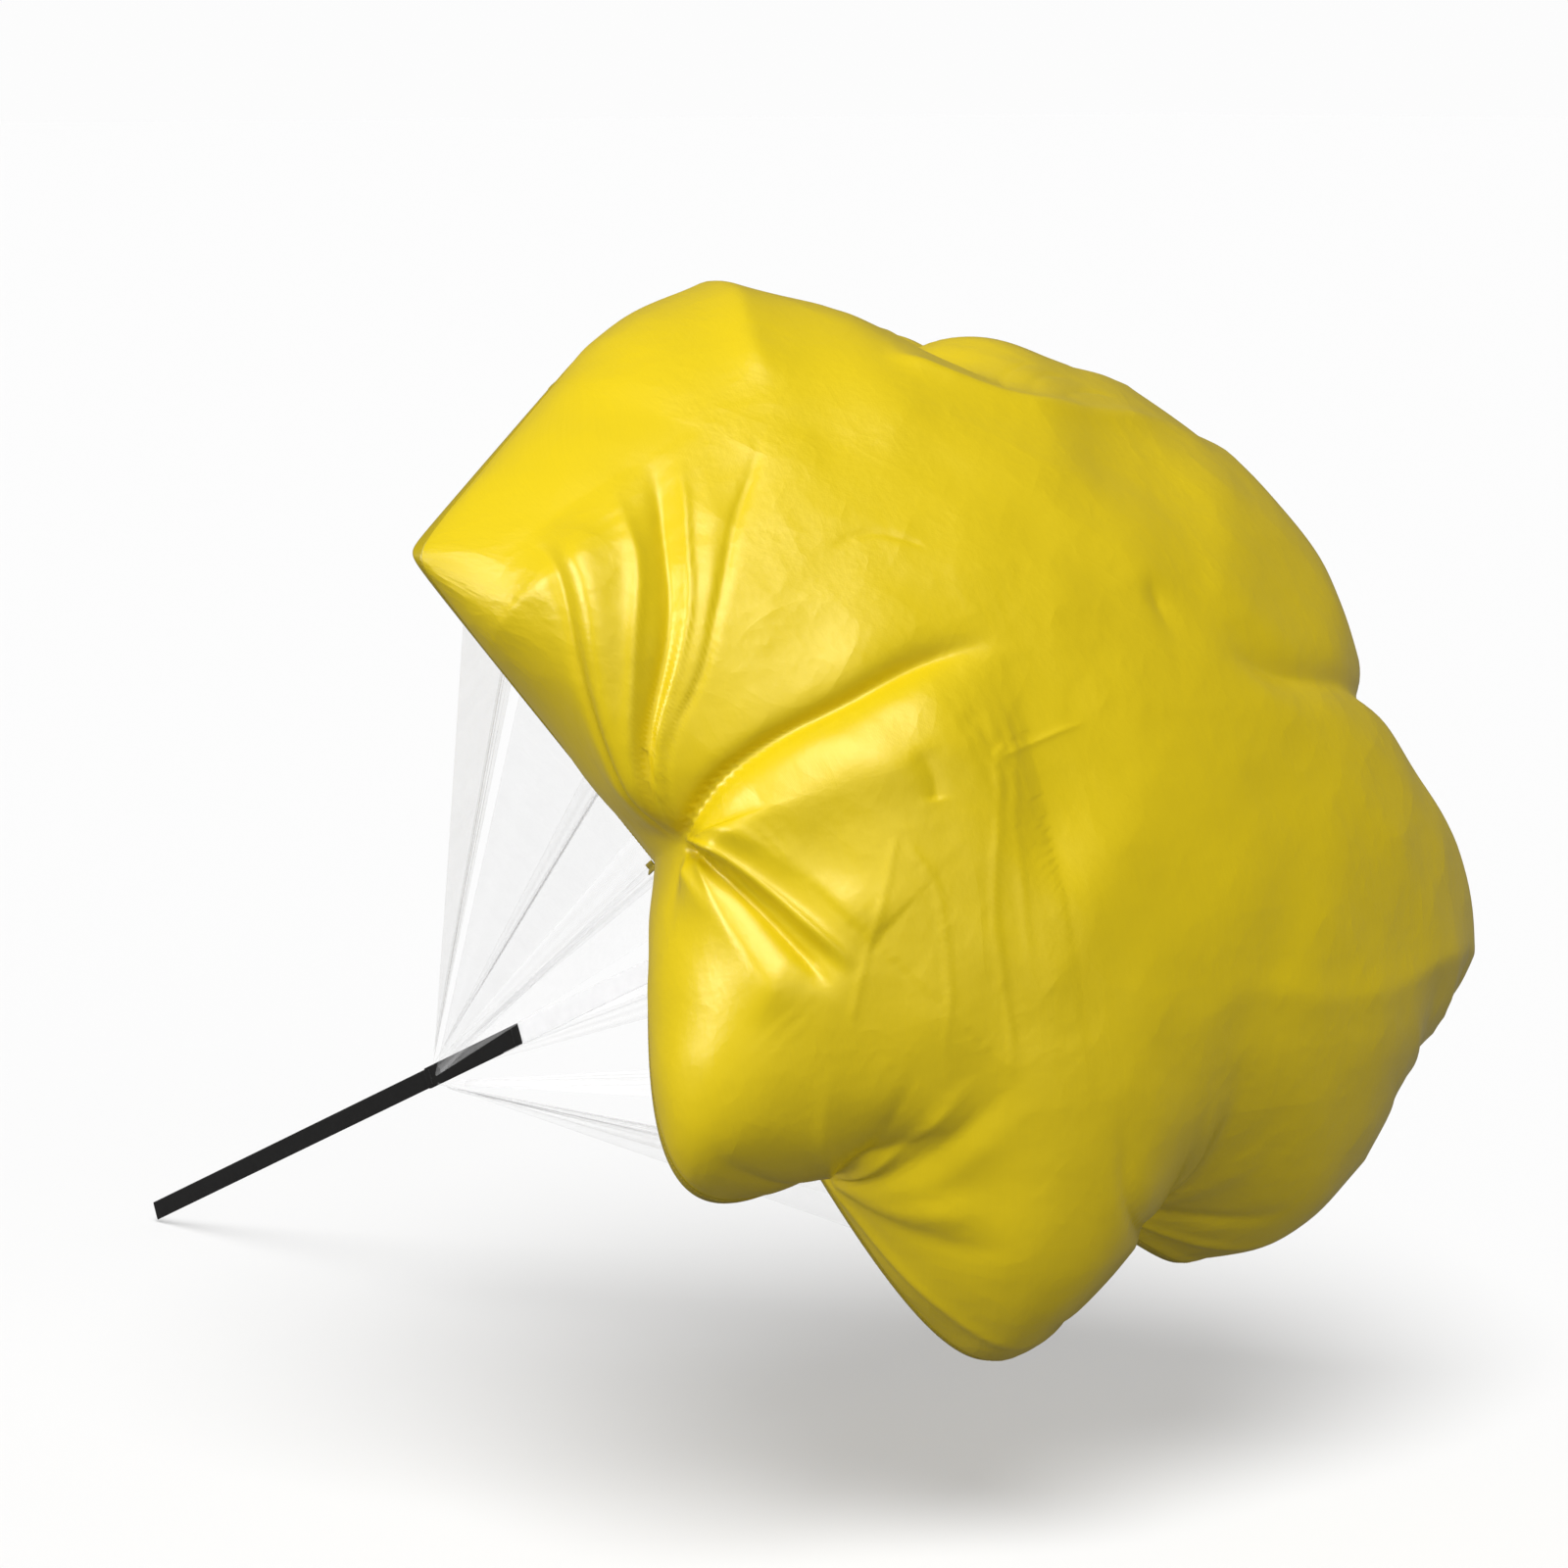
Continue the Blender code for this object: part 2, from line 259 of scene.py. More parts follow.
def yellowCloth(name, shade):
    look = canopyCloth
    finish = Finish(name, {"Specular IOR Level": look["gloss"], "Specular Tint": look["glossTint"]})
    across, along, place = finish.clothPlace()
    turn = 2 * np.pi / look["threadPitch"]
    weave = (across * turn).sine() * (along * turn).sine()
    slubs = finish.noise(finish.stretched(place, *look["slubs"]), 1.0, 3.0)
    crinkles = finish.noise(place, 1 / look["crinkleSize"], 4.0, 0.55)
    patches = finish.noise(place, look["patches"], 2.0)
    # shade darkens both colours; below 1 it is painted shade, as on the hem
    body, worn = ([c * shade for c in look[key]] for key in ("body", "worn"))
    spread = look["roughnessSpread"]
    finish.set({
        "Base Color": finish.blend(patches * 0.6 + slubs * 0.5 - 0.05, body, worn),
        "Roughness": look["roughness"] + (patches - 0.5) * spread + (slubs - 0.5) * spread,
    })
    crumples = finish.node("TexNoise", {"noise_type": "RIDGED_MULTIFRACTAL", "normalize": False},
                           {"Vector": place, "Scale": 1 / look["crumpleSize"], "Detail": 3.0,
                            "Roughness": 0.45, "Offset": 1.0, "Gain": 1.6}, 0)
    threads = finish.raised(weave * 0.5 + slubs * 0.6, look["threadHeight"], look["threadStrength"])
    creased = finish.raised(crinkles, look["crinkleHeight"], look["creaseStrength"], threads)
    crumpled = finish.raised(crumples * patches, look["crumpleHeight"], look["creaseStrength"], creased)
    finish.set({"Normal": crumpled})
    return finish.material


netCloth = {
    "colour": (0.92, 0.92, 0.925, 1.0),
    "roughness": 0.75,
    "gloss": 0.2,
    "cell": 0.0024,
    "hole": 0.09,  # how much a hole covers, and how much more a thread does
    "thread": 0.20,
    "cloudScale": 14.0,
    "cloud": 0.10,
    "threadHeight": 0.0003,
}


def whiteNet(name):
    look = netCloth
    finish = Finish(name, {"Base Color": look["colour"], "Roughness": look["roughness"],
                           "Specular IOR Level": look["gloss"]})
    across, along, place = finish.clothPlace()
    turn = np.pi / look["cell"]
    first = ((across + along) * turn).sine().size()
    second = ((across - along) * turn).sine().size()
    mesh = 1 - (first * second) ** 0.6
    cloudy = finish.noise(place, look["cloudScale"], 2.0)
    finish.set({
        "Alpha": mesh * look["thread"] + look["hole"] + (cloudy - 0.5) * look["cloud"],
        "Normal": finish.raised(mesh, look["threadHeight"], 0.4),
    })
    return finish.material


tapeCloth = {
    "colour": (0.90, 0.90, 0.905),
    "shaded": (0.80, 0.80, 0.81),
    "roughness": 0.62,
    "gloss": 0.3,
    "rib": 0.0018,
    "ribHeight": 0.0003,
    "softScale": 60.0,
    "cover": 0.82,
    "seamCover": 0.10,  # the seams show only faintly
}


def whiteTape(name, cover):
    look = tapeCloth
    finish = Finish(name, {"Specular IOR Level": look["gloss"], "Alpha": cover})
    across, along, place = finish.clothPlace()
    turn = 2 * np.pi / look["rib"]
    ribs = (along * turn).sine()
    threads = (across * turn).sine()
    soft = finish.noise(place, look["softScale"], 3.0)
    finish.set({
        "Base Color": finish.blend(soft, look["colour"], look["shaded"]),
        "Roughness": look["roughness"] + (soft - 0.5) * 0.2,
        "Normal": finish.raised(ribs * 0.5 + threads * 0.3 + soft, look["ribHeight"], 0.6),
    })
    return finish.material


strapCloth = {
    "dark": (0.006, 0.006, 0.006),
    "lit": (0.014, 0.0135, 0.013),
    "roughness": 0.62,
    "gloss": 0.16,
    "warp": 0.0015,
    "pick": 0.0026,
    "weaveHeight": 0.0004,
    "wornScale": 90.0,
}


def blackWebbing(name):
    look = strapCloth
    finish = Finish(name, {"Specular IOR Level": look["gloss"]})
    across, along, place = finish.clothPlace()
    warps = (across * (2 * np.pi / look["warp"])).sine()
    picks = (along * (2 * np.pi / look["pick"])).sine()
    weave = warps * picks
    worn = finish.noise(place, look["wornScale"], 3.0)
    finish.set({
        "Base Color": finish.blend(weave * 0.35 + worn * 0.9 - 0.05, look["dark"], look["lit"]),
        "Roughness": look["roughness"] + (worn - 0.5) * 0.25,
        "Normal": finish.raised(weave * 0.5 + warps * 0.35 + worn * 0.2, look["weaveHeight"], 0.8),
    })
    return finish.material


sewing = {
    "black": (0.02, 0.02, 0.02),
    "yellow": (0.50, 0.36, 0.01),
    "shade": 0.6,
    "roughness": 0.5,
    "gloss": 0.4,
    "twistScale": 900.0,
    "twistHeight": 0.0002,
}


def thread(name, colour):
    look = sewing
    finish = Finish(name, {"Specular IOR Level": look["gloss"]})
    twist = finish.noise(finish.node("TexCoord", {}, {}, "Object"), look["twistScale"], 1.0)
    finish.set({
        "Base Color": finish.blend(twist, colour, [c * look["shade"] for c in colour]),
        "Roughness": look["roughness"] + (twist - 0.5) * 0.3,
        "Normal": finish.raised(twist, look["twistHeight"], 0.6),
    })
    return finish.material


# Meshes from grids of points

def world(points):  # places along the pull line, towards its rise and towards +Y
    return points[..., 0:1] * pullAxis + points[..., 1:2] * riseAxis + points[..., 2:3] * sideAxis


def unit(vectors):
    size = np.linalg.norm(vectors, axis=-1, keepdims=True)
    return vectors / np.where(size > 0, size, 1)


# Quads of a grid, column by column; wrap joins the last column to the first
def gridFaces(columns, rows, wrap):
    column = np.arange(columns if wrap else columns - 1)[:, None]
    row = np.arange(rows - 1)[None]
    here = (column * rows + row).ravel()
    after = ((column + 1) % columns * rows + row).ravel()
    return np.stack([here, after, after + 1, here + 1], 1)


# A mesh piece; places are metres across and along the cloth, one pair for each vertex
def addMesh(name, points, faces, places, finish):
    mesh = bpy.data.meshes.new(name)
    mesh.from_pydata(points.reshape(-1, 3).tolist(), [], [face.tolist() for face in faces])
    corners = np.zeros(len(mesh.loops), np.int32)
    mesh.loops.foreach_get("vertex_index", corners)
    layer = mesh.uv_layers.new(name="cloth")
    layer.data.foreach_set("uv", places.reshape(-1, 2)[corners].astype(np.float32).ravel())
    mesh.shade_smooth()
    mesh.materials.append(finish)
    made = bpy.data.objects.new(name, mesh)
    bpy.context.scene.collection.objects.link(made)
    return made


def facesOut(piece):  # turns the faces of a closed mesh outwards
    work = bmesh.new()
    work.from_mesh(piece.data)
    bmesh.ops.recalc_face_normals(work, faces=work.faces)
    if work.calc_volume(signed=True) < 0:
        bmesh.ops.reverse_faces(work, faces=work.faces)
    work.to_mesh(piece.data)
    work.free()


def stepLengths(points):  # distance walked along the last but one axis of a grid
    steps = np.linalg.norm(np.diff(points, axis=-2), axis=-1)
    return np.concatenate([np.zeros((*steps.shape[:-1], 1)), np.cumsum(steps, -1)], -1)


webbingSection = {"sides": 28, "across": 0.35, "through": 0.45}


# A flat oval: w = width / 2 * |cos|^across and t = thickness / 2 * |sin|^through, each with its sign
def flatOval(turn, width, thickness, section):
    w = width / 2 * np.sign(np.cos(turn)) * abs(np.cos(turn)) ** section["across"]
    t = thickness / 2 * np.sign(np.sin(turn)) * abs(np.sin(turn)) ** section["through"]
    return w, t


# A ribbon is a flat oval section carried along a line: centre + w * across + t * normal
def ribbon(name, centres, across, normals, width, thickness, finish):
    sides = webbingSection["sides"]
    turn = np.linspace(0, 2 * np.pi, sides, endpoint=False) + np.pi / sides
    w, t = flatOval(turn, width, thickness, webbingSection)
    length = stepLengths(centres)
    points = centres[None] + w[:, None, None] * across[None] + t[:, None, None] * normals[None]
    places = np.stack(np.broadcast_arrays(w[:, None], length[None]), -1)
    faces = list(gridFaces(sides, len(centres), True))
    rows = len(centres)
    faces += [np.arange(sides) * rows, np.arange(sides)[::-1] * rows + rows - 1]
    made = addMesh(name, points, faces, places, finish)
    facesOut(made)
    return made


# The canopy's form, which part.py shares: lengths are shares of the ring's radius

canopyForm = {
    "ringRadius": 0.490,
    "coneLength": 1.100,
    "crownHeight": 0.400,
    "clothWall": 0.0015,
    "lobes": 8,
    "firstGather": 92.5,
    # turn in degrees, distance from the pull line, place towards the crown
    "gathers": ((-1, 0.96, 0.09), (0, 1.00, 0.00), (0, 0.95, 0.05), (0, 1.05, 0.00),
                (0, 0.95, 0.00), (0, 1.00, 0.00), (0, 1.00, 0.00), (-8, 1.40, 0.11)),
    # the same for each lobe's tip, and how pointed it is
    "tips": ((6, 1.32, 0.09, 1.3), (3, 1.28, 0.03, 1.5), (-6, 1.16, -0.02, 5.0), (-2, 1.40, 0.15, 6.0),
             (0, 1.10, 0.00, 1.0), (2, 1.36, -0.22, 7.0), (-6, 1.34, 0.00, 1.8), (-7, 1.54, 0.10, 16.0)),
    # where the wind blows the cloth out to, at each gather and lobe in turn
    "shoulders": ((1.26, 0.40), (1.40, 0.36), (1.30, 0.42), (1.38, 0.36),
                  (1.05, 0.40), (1.36, 0.36), (1.45, 0.40), (1.40, 0.38),
                  (1.18, 0.38), (1.26, 0.36), (1.26, 0.38), (1.24, 0.28),
                  (1.32, 0.40), (1.46, 0.40), (1.46, 0.40), (1.42, 0.42)),
    "crownShare": 0.85,
    "flatSize": 1.58,  # across the flat round, before it was gathered
    "columns": (112, 50, 44, 44, 44, 44, 58, 112),  # in each lobe, the finest where the folds are
    "rows": 190,
}
ringAt = hingeAt + canopyForm["coneLength"]
lobeAngle = 360.0 / canopyForm["lobes"]


def polar(degrees, radius, along):
    turn = np.radians(degrees)
    return np.stack(np.broadcast_arrays(along, radius * np.cos(turn), -radius * np.sin(turn)), -1)


def smoothTable(table, at):  # a closed Catmull-Rom curve through the rows of a table
    table = np.asarray(table, float)
    first = np.floor(at).astype(int)
    part = (at - first)[..., None]
    a, b, c, d = (table[(first + step) % len(table)] for step in (-1, 0, 1, 2))
    return b + part / 2 * (c - a + part * (2 * a - 5 * b + 4 * c - d + part * (3 * (b - c) + d - a)))


# The rim: for each lobe a conic arc from gather a to gather b that passes the lobe's tip
def rimPoints(at):
    radius = canopyForm["ringRadius"]
    lobe = np.floor(at).astype(int)
    part = (at - lobe)[..., None]
    part = np.where(part < 0.5, 2 * part**2, 1 - 2 * (1 - part) ** 2)
    gathers = np.array(canopyForm["gathers"])
    tips = np.array(canopyForm["tips"])
    here, after = gathers[lobe % canopyForm["lobes"]], gathers[(lobe + 1) % canopyForm["lobes"]]
    tipRow = tips[lobe % canopyForm["lobes"]]
    start = canopyForm["firstGather"] + lobeAngle * lobe
    a = polar(start + here[..., 0], here[..., 1] * radius, here[..., 2] * radius)
    b = polar(start + lobeAngle + after[..., 0], after[..., 1] * radius, after[..., 2] * radius)
    tip = polar(start + lobeAngle / 2 + tipRow[..., 0], tipRow[..., 1] * radius, tipRow[..., 2] * radius)
    point = tipRow[..., 3:4]
    pull = ((2 + 2 * point) * tip - a - b) / (2 * point)  # so that the arc's middle is the tip
    weights = (1 - part) ** 2, 2 * point * part * (1 - part), part**2
    return (weights[0] * a + weights[1] * pull + weights[2] * b) / sum(weights)


# The cloth: a cubic arc from the crown over the shoulder to the rim; down is 0 at the crown, 1 at the rim
def canopyPoints(at, down):
    radius, height = canopyForm["ringRadius"], canopyForm["crownHeight"]
    degrees = canopyForm["firstGather"] + lobeAngle * at
    shoulder = smoothTable(canopyForm["shoulders"], 2 * at) * radius
    crown = np.array([height, 0.0, 0.0])
    top = polar(degrees, canopyForm["crownShare"] * radius, height)
    bulge = polar(degrees, shoulder[..., 0], shoulder[..., 1])
    t = np.asarray(down, float)[..., None]
    upper = crown * (1 - t) ** 3 + 3 * top * t * (1 - t) ** 2
    lower = 3 * bulge * t**2 * (1 - t) + rimPoints(at) * t**3
    return upper + lower + np.array([ringAt, 0.0, 0.0])


def gridNormals(grid, wrap):  # outward on the canopy
    ahead = np.roll(grid, -1, 0) - grid
    behind = np.roll(ahead, 1, 0)
    if not wrap:
        ahead[-1], behind[0] = behind[-1], ahead[0]
    return unit(np.cross(unit(ahead) + unit(behind), np.gradient(grid, axis=1)))


# Folds. A path's places are (lobes round the rim, share of the way down). Widths and heights are metres.
# A profile is a sum of soft crests (place, width, height), in widths right of the path from outside.
foldProfiles = {
    "ridge": ((0.0, 1.0, 1.0),),
    "valley": ((0.0, 1.0, -1.0),),
    "ridgeRight": ((-0.8, 0.9, -1.0), (0.35, 0.4, 0.50), (1.6, 2.0, 0.35)),
    "tuck": ((-0.2, 0.9, -1.0), (3.0, 5.0, 1.15)),
    "double": ((-0.5, 0.35, 0.45), (0.0, 0.28, -0.30), (0.55, 0.6, -0.8), (2.4, 2.4, 0.55),
               (-2.2, 2.0, 0.45)),
}
foldCurve = {"points": 22, "reach": 14, "fadeIn": 0.12, "fadeOut": 0.30}
foldFade = {"rim": 0.035, "crown": 0.055, "crownWidth": 0.08}  # no folds at the hem and on the patch

photoFolds = (  # profile, width at the start and end, height, path
    ("valley", 0.006, 0.022, 0.0085, ((8.0, 0.80), (7.80, 0.745), (7.58, 0.72), (7.42, 0.74), (7.33, 0.80))),
    ("ridge", 0.050, 0.100, 0.0340, ((8.0, 0.80), (7.80, 0.72), (7.58, 0.69), (7.42, 0.71), (7.30, 0.78))),
    ("ridge", 0.006, 0.024, 0.0070, ((8.0, 0.78), (7.74, 0.66), (7.40, 0.62), (7.10, 0.70))),
    ("ridgeRight", 0.006, 0.026, 0.0110,
     ((8.0, 0.78), (7.78, 0.63), (7.52, 0.565), (7.22, 0.58), (7.06, 0.63))),
    ("valley", 0.004, 0.010, 0.0040, ((8.0, 0.77), (7.76, 0.585), (7.48, 0.52), (7.13, 0.51), (6.90, 0.53))),
    ("tuck", 0.012, 0.034, 0.0240,
     ((8.0, 0.77), (7.95, 0.66), (7.88, 0.51), (7.77, 0.38), (7.57, 0.27), (7.36, 0.185))),
    ("double", 0.010, 0.030, 0.0200, ((8.0, 0.77), (8.08, 0.69), (8.23, 0.59), (8.37, 0.53), (8.49, 0.505))),
    ("valley", 0.012, 0.020, 0.0030, ((8.02, 0.235), (7.92, 0.25), (7.80, 0.265))),
    ("valley", 0.012, 0.020, 0.0030, ((8.16, 0.33), (8.05, 0.33), (7.93, 0.34))),
    ("valley", 0.010, 0.040, 0.0090, ((0.99, 0.98), (0.90, 0.80), (0.95, 0.70), (1.04, 0.60))),
    ("ridge", 0.014, 0.045, 0.0070, ((1.02, 0.97), (1.14, 0.80), (1.25, 0.62))),
    ("valley", 0.008, 0.026, 0.0080, ((1.99, 0.98), (1.86, 0.78), (1.60, 0.55), (1.44, 0.40))),
    ("ridge", 0.030, 0.060, 0.0055,
     ((3.48, 0.97), (3.25, 0.58), (2.90, 0.42), (2.47, 0.33), (1.95, 0.31), (1.60, 0.34))),
    ("valley", 0.020, 0.050, 0.0180, ((4.0, 0.95), (4.02, 0.60), (4.05, 0.35), (4.20, 0.16), (4.9, 0.06))),
    ("valley", 0.060, 0.110, 0.0400, ((6.0, 0.99), (5.98, 0.80), (5.97, 0.60), (6.0, 0.36))),
    ("valley", 0.110, 0.110, 0.0780, ((5.12, 0.80), (5.35, 0.81), (5.60, 0.79), (5.95, 0.74))),
    ("valley", 0.030, 0.024, 0.0070, ((5.0, 0.05), (5.67, 0.08), (5.85, 0.14))),
    ("ridge", 0.030, 0.040, 0.0100, ((6.40, 0.50), (6.18, 0.41), (5.78, 0.37), (5.40, 0.40), (5.03, 0.49))),
    ("ridge", 0.030, 0.055, 0.0090, ((6.44, 0.97), (6.50, 0.74), (6.67, 0.61), (6.78, 0.53))),
)
packingCreases = (  # the sharp marks that folding for the bag leaves
    ("ridge", 0.005, 0.005, 0.0016, ((7.86, 0.24), (8.20, 0.25), (8.55, 0.30), (8.95, 0.42), (9.12, 0.52))),
    ("ridge", 0.005, 0.005, 0.0013, ((7.80, 0.22), (8.10, 0.22), (8.60, 0.27), (9.00, 0.38))),
    ("ridge", 0.004, 0.004, 0.0016, ((8.20, 0.385), (8.40, 0.44), (8.66, 0.58))),
    ("ridge", 0.004, 0.004, 0.0014, ((8.22, 0.38), (8.45, 0.36), (8.70, 0.42), (8.88, 0.53))),
    ("ridge", 0.005, 0.007, 0.0014, ((8.07, 0.245), (8.0, 0.17), (7.92, 0.11))),
    ("valley", 0.005, 0.007, 0.0018, ((7.05, 0.30), (7.10, 0.36), (7.22, 0.40))),
    ("valley", 0.004, 0.006, 0.0020, ((6.08, 0.40), (5.92, 0.47), (5.72, 0.50))),
    ("valley", 0.004, 0.006, 0.0018, ((5.95, 0.40), (5.80, 0.45), (5.60, 0.47))),
    ("valley", 0.004, 0.006, 0.0018, ((5.80, 0.39), (5.62, 0.43), (5.42, 0.45))),
)
gatherFan = {  # the folds that every gather draws in: across in lobes and how far up they end
    "reach": (-0.52, -0.36, -0.20, -0.07, 0.08, 0.22, 0.38, 0.55),
    "up": (0.80, 0.62, 0.50, 0.44, 0.42, 0.50, 0.64, 0.80),
    "sway": 0.05,
    "height": 0.0035,
    "heightSpread": 0.35,
    "startWidth": 0.005,
    "endWidth": 0.026,
    "without": (0, 7),  # the gathers beside the last lobe, whose folds photoFolds gives one by one
}
windRipples = {"count": 26, "shortest": 0.07, "longest": 0.34, "slope": 0.0055, "seed": 4}


def openCurve(points, count):  # a Catmull-Rom curve through a list of points
    table = np.asarray(points, float)
    table = np.concatenate([[2 * table[0] - table[1]], table, [2 * table[-1] - table[-2]]])
    at = np.linspace(0, len(points) - 1, count)
    first = np.minimum(at.astype(int), len(points) - 2)
    part = (at - first)[:, None]
    a, b, c, d = (table[first + step] for step in range(4))
    return b + part / 2 * (c - a + part * (2 * a - 5 * b + 4 * c - d + part * (3 * (b - c) + d - a)))


def eased(share):
    share = np.clip(share, 0, 1)
    return share * share * (3 - 2 * share)


# Height of one fold at each point: height * sum of h exp(0.4 - sqrt(0.16 + 3.6 ((x - c) / s)^2)) over the
# profile's crests (c, s, h), with x the distance right of the path / width there, faded at both ends
def foldHeights(points, normals, fold):
    profile, startWidth, endWidth, height, path = fold
    places = openCurve(path, foldCurve["points"])
    line = canopyPoints(places[:, 0], places[:, 1])
    reach = foldCurve["reach"] * max(startWidth, endWidth)
    inside = (points > line.min(0) - reach) & (points < line.max(0) + reach)
    near = np.flatnonzero(np.all(inside, axis=-1))
    heights = np.zeros(len(points))
    start, run = line[:-1], np.diff(line, axis=0)
    away = points[near, None] - start[None]
    share = np.clip((away * run).sum(-1) / (run**2).sum(-1), 0, 1)
    away = away - share[..., None] * run
    closest = (away**2).sum(-1).argmin(1)
    index = np.arange(len(near))
    away = away[index, closest]
    place = (closest + share[index, closest]) / len(run)
    right = np.cross(normals[near], run[closest])
    distance = np.linalg.norm(away, axis=-1) * np.sign((away * right).sum(-1))
    x = distance / (startWidth + (endWidth - startWidth) * place)
    crests = foldProfiles[profile]
    shape = sum(h * np.exp(0.4 - np.sqrt(0.16 + 3.6 * ((x - c) / s) ** 2)) for c, s, h in crests)
    fade = eased(place / foldCurve["fadeIn"]) * eased((1 - place) / foldCurve["fadeOut"])
    heights[near] = height * shape * fade
    return heights


def fanFolds():
    folds = []
    for gather in range(canopyForm["lobes"]):
        if gather in gatherFan["without"]:
            continue
        for index, (reach, up) in enumerate(zip(gatherFan["reach"], gatherFan["up"])):
            sway = gatherFan["sway"] * np.sin(2.3 * gather + 1.7 * index)
            middle = (gather + 0.45 * reach, 0.5 + 0.5 * up)
            path = ((gather, 0.985), middle, (gather + reach + sway, up + sway))
            kind = "ridge" if index % 2 else "valley"
            uneven = 1 + gatherFan["heightSpread"] * np.sin(1.9 * index + gather)
            folds.append((kind, gatherFan["startWidth"], gatherFan["endWidth"],
                          gatherFan["height"] * uneven, path))
    return folds


# Ripples: waves of many lengths along the cloth, each as high as its length times a small slope
def rippleHeights(points):
    chance = np.random.default_rng(windRipples["seed"])
    heights = np.zeros(len(points))
    shortest, longest = np.log(windRipples["shortest"]), np.log(windRipples["longest"])
    for _ in range(windRipples["count"]):
        length = np.exp(chance.uniform(shortest, longest))
        way = unit(chance.normal(size=3))
        phase = chance.uniform(0, 2 * np.pi)
        heights += length * windRipples["slope"] * np.sin(2 * np.pi / length * points @ way + phase) / 2
    return heights


def makeCanopy(finish):
    at = [lobe + np.arange(count) / count for lobe, count in enumerate(canopyForm["columns"])]
    at = np.concatenate(at)[:, None]
    columns, rows = len(at), canopyForm["rows"] + 1
    down = np.linspace(0, 1, rows)[None]
    grid = canopyPoints(at, down)
    normals = gridNormals(grid, True)
    normals[:, 0] = [1.0, 0.0, 0.0]
    points, ways = grid.reshape(-1, 3), normals.reshape(-1, 3)
    heights = rippleHeights(points)
    for fold in photoFolds + packingCreases + tuple(fanFolds()):
        heights += foldHeights(points, ways, fold)
    heights = heights.reshape(grid.shape[:2])
    atRim = eased((1 - down) / foldFade["rim"])
    atCrown = eased((down - foldFade["crown"]) / foldFade["crownWidth"])
    grid = grid + ((heights - heights[:, :1].mean()) * atRim * atCrown)[..., None] * normals
    length = stepLengths(grid)
    turn = np.radians(lobeAngle) * at
    places = np.stack([length * np.cos(turn), length * np.sin(turn)], -1)
    faces = gridFaces(columns, rows, True)[:, ::-1].copy()  # outward
    crown = np.arange(columns) * rows
    faces[np.isin(faces, crown)] = 0  # every column starts at the one crown point
    used = [[v for i, v in enumerate(face) if v not in face[:i]] for face in faces.tolist()]
    keep = np.ones(columns * rows, bool)
    keep[crown[1:]] = False
    newIndex = np.cumsum(keep) - 1
    used = [newIndex[face] for face in used]
    points, places = world(grid).reshape(-1, 3)[keep], places.reshape(-1, 2)[keep]
    made = addMesh("canopy_sheet", points, used, places, finish)
    print("canopy", len(used), "faces, cloth area", clothArea(made))
    return made


def clothArea(piece):
    return sum(polygon.area for polygon in piece.data.polygons)


# The rim's edge, the way that the cloth runs off it, and its outward normal
def rimFrame(at):
    step = rimBand["frameStep"]
    before, edge, after = (canopyPoints(at + shift, np.ones_like(at)) for shift in (-step, 0, step))
    run = unit(edge - canopyPoints(at, np.full_like(at, 1 - step)))
    return edge, run, unit(np.cross(unit(after - edge) + unit(edge - before), run))


rimBand = {
    "width": 0.0128,
    "overlap": 0.0020,
    "thickness": 0.0026,
    "across": 0.5,
    "through": 0.6,
    "columnsALobe": 120,
    "sides": 14,
    "frameStep": 1 / 40,
    "fineSteps": 400,
    "stitchPitch": 0.0046,
    "stitchLength": 0.0034,
    "stitchWidth": 0.0009,
    "stitchRow": 0.0016,
}


# The hem: a flat oval section carried round the rim: edge + a * run + b * normal
def makeHem(finish):
    at = np.arange(canopyForm["lobes"] * rimBand["columnsALobe"]) / rimBand["columnsALobe"]
    edge, run, normal = rimFrame(at)
    turn = np.linspace(0, 2 * np.pi, rimBand["sides"], endpoint=False)
    whole = rimBand["width"] + rimBand["overlap"]
    a, b = flatOval(turn, whole, rimBand["thickness"], rimBand)
    a = a + whole / 2 - rimBand["overlap"]
    middle = edge - canopyForm["clothWall"] / 3 * normal
    points = middle[:, None] + a[None, :, None] * run[:, None] + b[None, :, None] * normal[:, None]
    length = stepLengths(edge)
    places = np.stack(np.broadcast_arrays(length[:, None], a[None]), -1)
    rows = rimBand["sides"]
    faces = list(gridFaces(len(at), rows, True))
    first = np.arange(len(at)) * rows
    after = np.roll(first, -1)
    faces += list(np.stack([first + rows - 1, after + rows - 1, after, first], 1))
    made = addMesh("hem_band", world(points), faces, places, finish)
    facesOut(made)
    return made


stitchShape = np.array([[-1, 0, 0], [-0.6, 1, 0], [-0.6, 0, 1], [-0.6, -1, 0], [-0.6, 0, -1],
                        [0.6, 1, 0], [0.6, 0, 1], [0.6, -1, 0], [0.6, 0, -1], [1, 0, 0]], float)
stitchFaces = np.array([[0, 2, 1, 1], [0, 3, 2, 2], [0, 4, 3, 3], [0, 1, 4, 4],
                        [1, 2, 6, 5], [2, 3, 7, 6], [3, 4, 8, 7], [4, 1, 5, 8],
                        [9, 5, 6, 6], [9, 6, 7, 7], [9, 7, 8, 8], [9, 8, 5, 5]])  # a triangle repeats a place


# Stitches: one small spindle at each centre, its long axis along the seam
def makeStitches(name, centres, along, up, length, width, finish):
    side = unit(np.cross(along, up))
    size = stitchShape * np.array([length / 2, width / 2, width / 2])
    points = centres[:, None] + size[None, :, 0:1] * along[:, None]
    points = points + size[None, :, 1:2] * side[:, None] + size[None, :, 2:3] * up[:, None]
    faces = stitchFaces[None] + (np.arange(len(centres)) * len(stitchShape))[:, None, None]
    faces = [face[:3] if face[2] == face[3] else face for face in faces.reshape(-1, 4)]
    made = addMesh(name, world(points), faces, np.zeros((points.size // 3, 2)), finish)
    facesOut(made)
    return made


